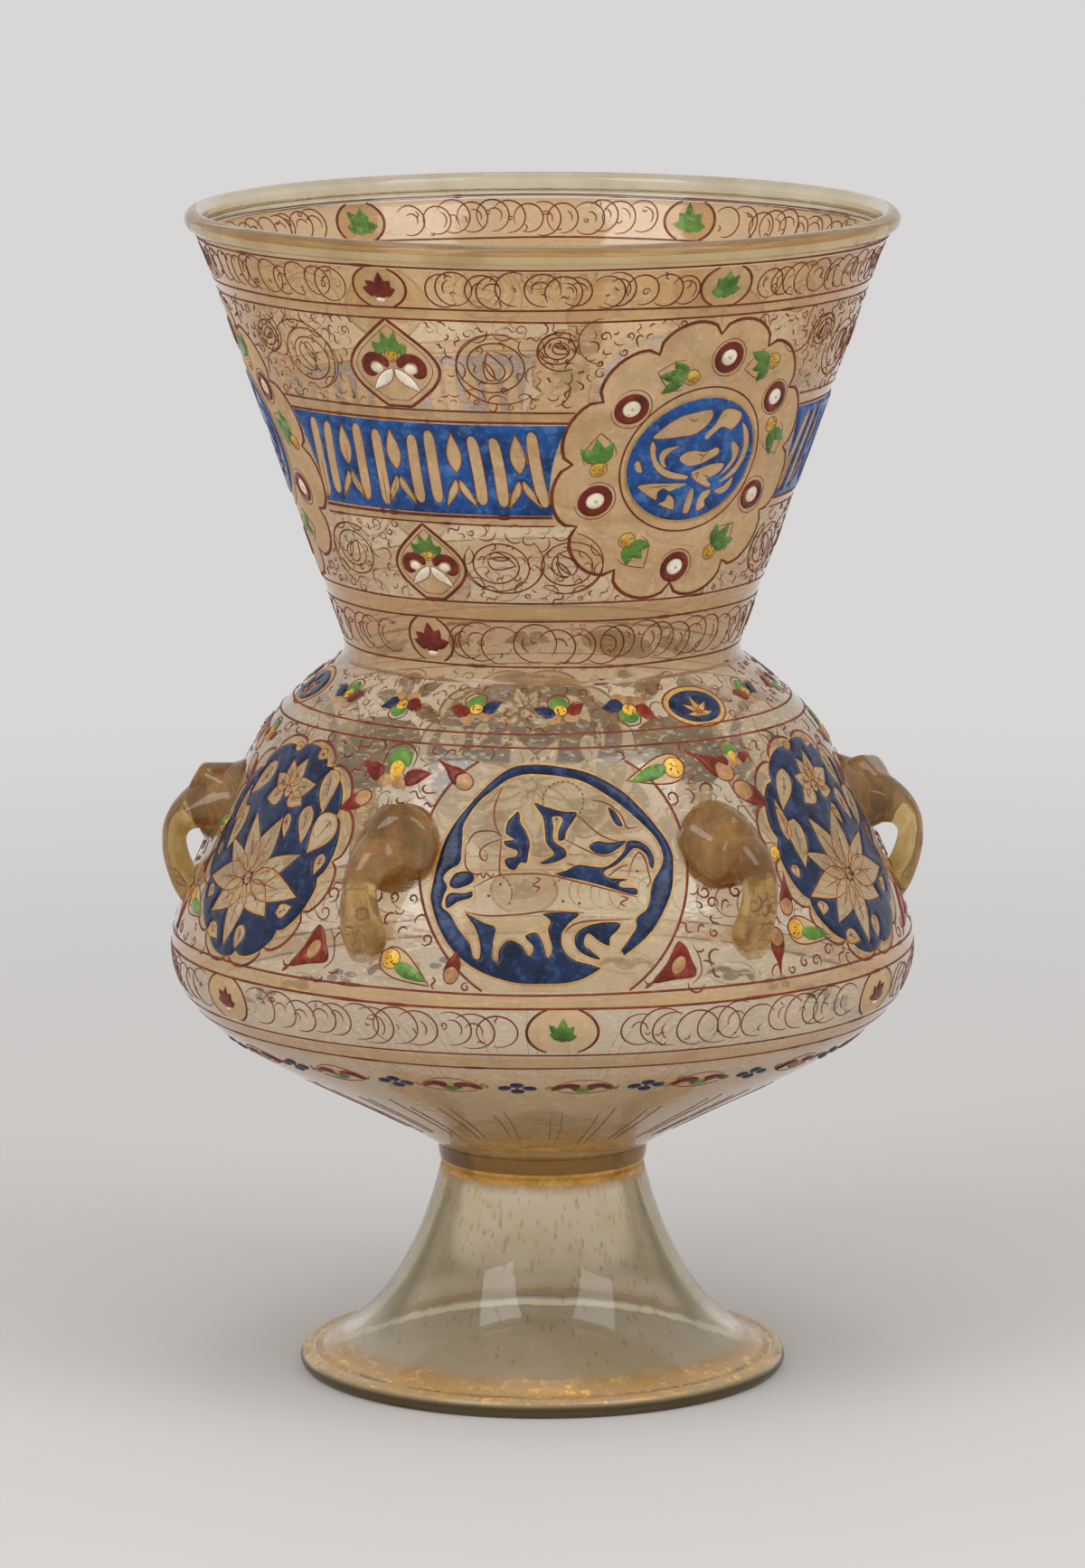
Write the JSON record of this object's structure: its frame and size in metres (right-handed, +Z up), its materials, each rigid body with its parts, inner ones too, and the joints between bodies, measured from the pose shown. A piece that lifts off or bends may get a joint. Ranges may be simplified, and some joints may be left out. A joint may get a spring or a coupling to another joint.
{
  "type": "mosque lamp",
  "caption": "Enamelled and gilded glass hanging lamp: flared neck, round bulb, applied chain loops and a trumpet foot; an oil cup goes in from above.",
  "frame": {"origin": "centre of the foot's resting ring, on the table plane", "axes": "+Z up along the lamp's axis; -Y is the front, with a round medallion of the bulb facing it; +X runs through one loop"},
  "size_m": [0.1858, 0.182, 0.285],
  "materials": {
    "clear_glass": "blown, clear, faintly brown, gilded in places",
    "amber_glass": "hot-worked, clear amber",
    "blue_enamel": "fired cobalt enamel, glossy",
    "green_enamel": "fired green enamel, glossy",
    "red_enamel": "fired iron-red enamel, glossy"
  },
  "bodies": {
    "root": {"vessel": "clear_glass", "collar": "amber_glass", "foot": "clear_glass", "loop_1": "amber_glass", "loop_2": "amber_glass", "loop_3": "amber_glass", "loop_4": "amber_glass", "loop_5": "amber_glass", "loop_6": "amber_glass", "neck_panel_1": "blue_enamel", "neck_panel_2": "blue_enamel", "neck_panel_3": "blue_enamel", "neck_disc_1": "blue_enamel", "neck_disc_2": "blue_enamel", "neck_disc_3": "blue_enamel", "bulb_roundel_1": "blue_enamel", "bulb_roundel_2": "blue_enamel", "bulb_roundel_3": "blue_enamel", "bulb_medallion_1": "blue_enamel", "bulb_medallion_2": "blue_enamel", "bulb_medallion_3": "blue_enamel", "shoulder_roundel_1": "blue_enamel", "shoulder_roundel_2": "blue_enamel", "shoulder_roundel_3": "blue_enamel", "band_medallion_1": "green_enamel", "band_medallion_2": "red_enamel", "band_medallion_3": "green_enamel", "band_medallion_4": "red_enamel", "band_medallion_5": "green_enamel", "band_medallion_6": "red_enamel"}
  },
  "joints": []
}
